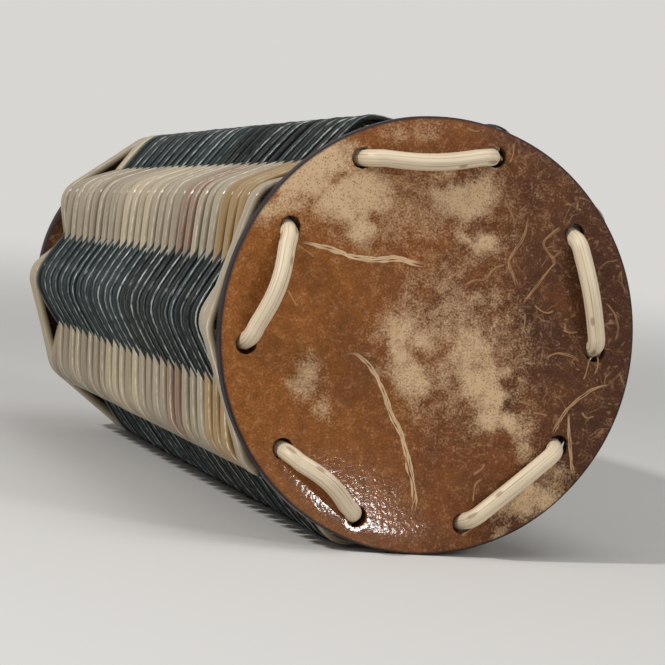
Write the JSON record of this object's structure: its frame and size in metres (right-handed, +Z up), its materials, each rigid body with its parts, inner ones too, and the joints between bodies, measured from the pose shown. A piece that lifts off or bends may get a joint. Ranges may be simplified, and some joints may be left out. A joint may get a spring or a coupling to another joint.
{
  "type": "coconut shaker",
  "caption": "Hand shaker with a tapered woven rattan wall in dark and natural bands, a stitched coconut-shell disc at each end and loose seeds inside.",
  "frame": {"origin": "centre of the bounding box on the ground that the shaker lies on", "axes": "+Y along the shaker, from the large near disc to the small far disc; +Z up; the shaker lies on two rows of lobes of its wall"},
  "size_m": [0.0832, 0.182, 0.08],
  "materials": {
    "near_shell": "lacquered coconut shell, mottled brown",
    "far_shell": "lacquered coconut shell, mottled brown",
    "cane": "peeled round rattan, pale cream",
    "dyed_reed": "dyed rattan reed, dark green-black, glossy",
    "natural_reed": "natural rattan reed, greyish tan",
    "seed": "dry hard seed, brown"
  },
  "bodies": {
    "shaker_body": {"near_shell_disc": "near_shell", "far_shell_disc": "far_shell", "cane_top": "cane", "cane_left": "cane", "cane_lower_left": "cane", "cane_lower_right": "cane", "cane_right": "cane", "dyed_weaver": "dyed_reed", "natural_weaver": "natural_reed", "near_border_weaver": "natural_reed", "far_border_weaver": "natural_reed"},
    "seed_01": {"seed_01": "seed"},
    "seed_02": {"seed_02": "seed"},
    "seed_03": {"seed_03": "seed"},
    "seed_04": {"seed_04": "seed"},
    "seed_05": {"seed_05": "seed"},
    "seed_06": {"seed_06": "seed"},
    "seed_07": {"seed_07": "seed"},
    "seed_08": {"seed_08": "seed"},
    "seed_09": {"seed_09": "seed"},
    "seed_10": {"seed_10": "seed"},
    "seed_11": {"seed_11": "seed"},
    "seed_12": {"seed_12": "seed"}
  },
  "joints": [
    {"name": "seed_01_slide", "type": "slide", "parent": "shaker_body", "child": "seed_01", "axis": [0.025, 0.9997, -0.0084], "range_m": [-0.027, 0.036]},
    {"name": "seed_02_slide", "type": "slide", "parent": "shaker_body", "child": "seed_02", "axis": [0.0164, 0.9999, -0.0015], "range_m": [-0.032, 0.031]},
    {"name": "seed_03_slide", "type": "slide", "parent": "shaker_body", "child": "seed_03", "axis": [0.0054, 1, -0.0002], "range_m": [-0.037, 0.026]},
    {"name": "seed_04_slide", "type": "slide", "parent": "shaker_body", "child": "seed_04", "axis": [-0.0054, 1, -0.0002], "range_m": [-0.027, 0.036]},
    {"name": "seed_05_slide", "type": "slide", "parent": "shaker_body", "child": "seed_05", "axis": [-0.0164, 0.9999, -0.0015], "range_m": [-0.032, 0.031]},
    {"name": "seed_06_slide", "type": "slide", "parent": "shaker_body", "child": "seed_06", "axis": [-0.025, 0.9997, -0.0084], "range_m": [-0.037, 0.026]},
    {"name": "seed_07_slide", "type": "slide", "parent": "shaker_body", "child": "seed_07", "axis": [0.025, 0.9997, -0.0085], "range_m": [-0.021, 0.037]},
    {"name": "seed_08_slide", "type": "slide", "parent": "shaker_body", "child": "seed_08", "axis": [0.0164, 0.9999, -0.0015], "range_m": [-0.026, 0.032]},
    {"name": "seed_09_slide", "type": "slide", "parent": "shaker_body", "child": "seed_09", "axis": [0.0054, 1, -0.0003], "range_m": [-0.031, 0.027]},
    {"name": "seed_10_slide", "type": "slide", "parent": "shaker_body", "child": "seed_10", "axis": [-0.0054, 1, -0.0003], "range_m": [-0.021, 0.037]},
    {"name": "seed_11_slide", "type": "slide", "parent": "shaker_body", "child": "seed_11", "axis": [-0.0164, 0.9999, -0.0015], "range_m": [-0.026, 0.032]},
    {"name": "seed_12_slide", "type": "slide", "parent": "shaker_body", "child": "seed_12", "axis": [-0.0249, 0.9997, -0.0085], "range_m": [-0.031, 0.027]}
  ]
}
